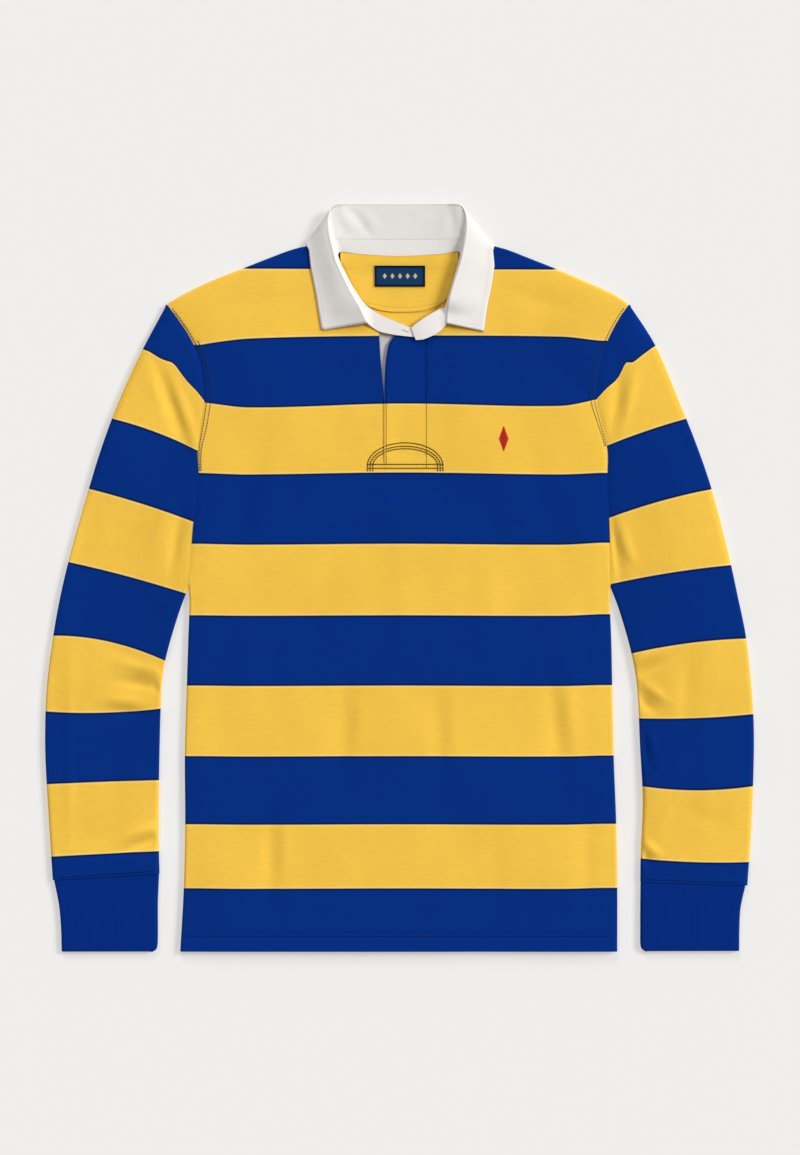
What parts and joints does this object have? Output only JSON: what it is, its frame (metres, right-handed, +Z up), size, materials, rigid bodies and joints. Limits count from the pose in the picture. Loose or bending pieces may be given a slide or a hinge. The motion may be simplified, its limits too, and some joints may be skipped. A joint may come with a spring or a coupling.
{
  "type": "long-sleeved polo shirt",
  "caption": "Long-sleeved knitted polo shirt with wide hoops, a white turned-down collar, an open concealed placket and ribbed cuffs, laid flat face up.",
  "frame": {"origin": "middle of the laid shirt's outline, on the surface that it lies on", "axes": "+X towards the wearer's left, +Y towards the collar, +Z up out of the surface, through the front"},
  "size_m": [0.7436, 0.7833, 0.0104],
  "materials": {
    "jersey": "matt knitted cotton, hooped in blue and yellow",
    "rib": "matt ribbed cotton knit",
    "twill": "matt woven cotton twill",
    "label": "woven satin tape"
  },
  "bodies": {
    "root": {"front": "jersey", "back": "jersey", "sleeve_right": "jersey", "sleeve_left": "jersey", "placket_flap": "jersey", "neck_patch": "jersey", "cuff_right": "rib", "cuff_left": "rib", "collar_stand": "twill", "collar_leaf": "twill", "placket_facing": "twill", "neck_label": "label"}
  },
  "joints": []
}
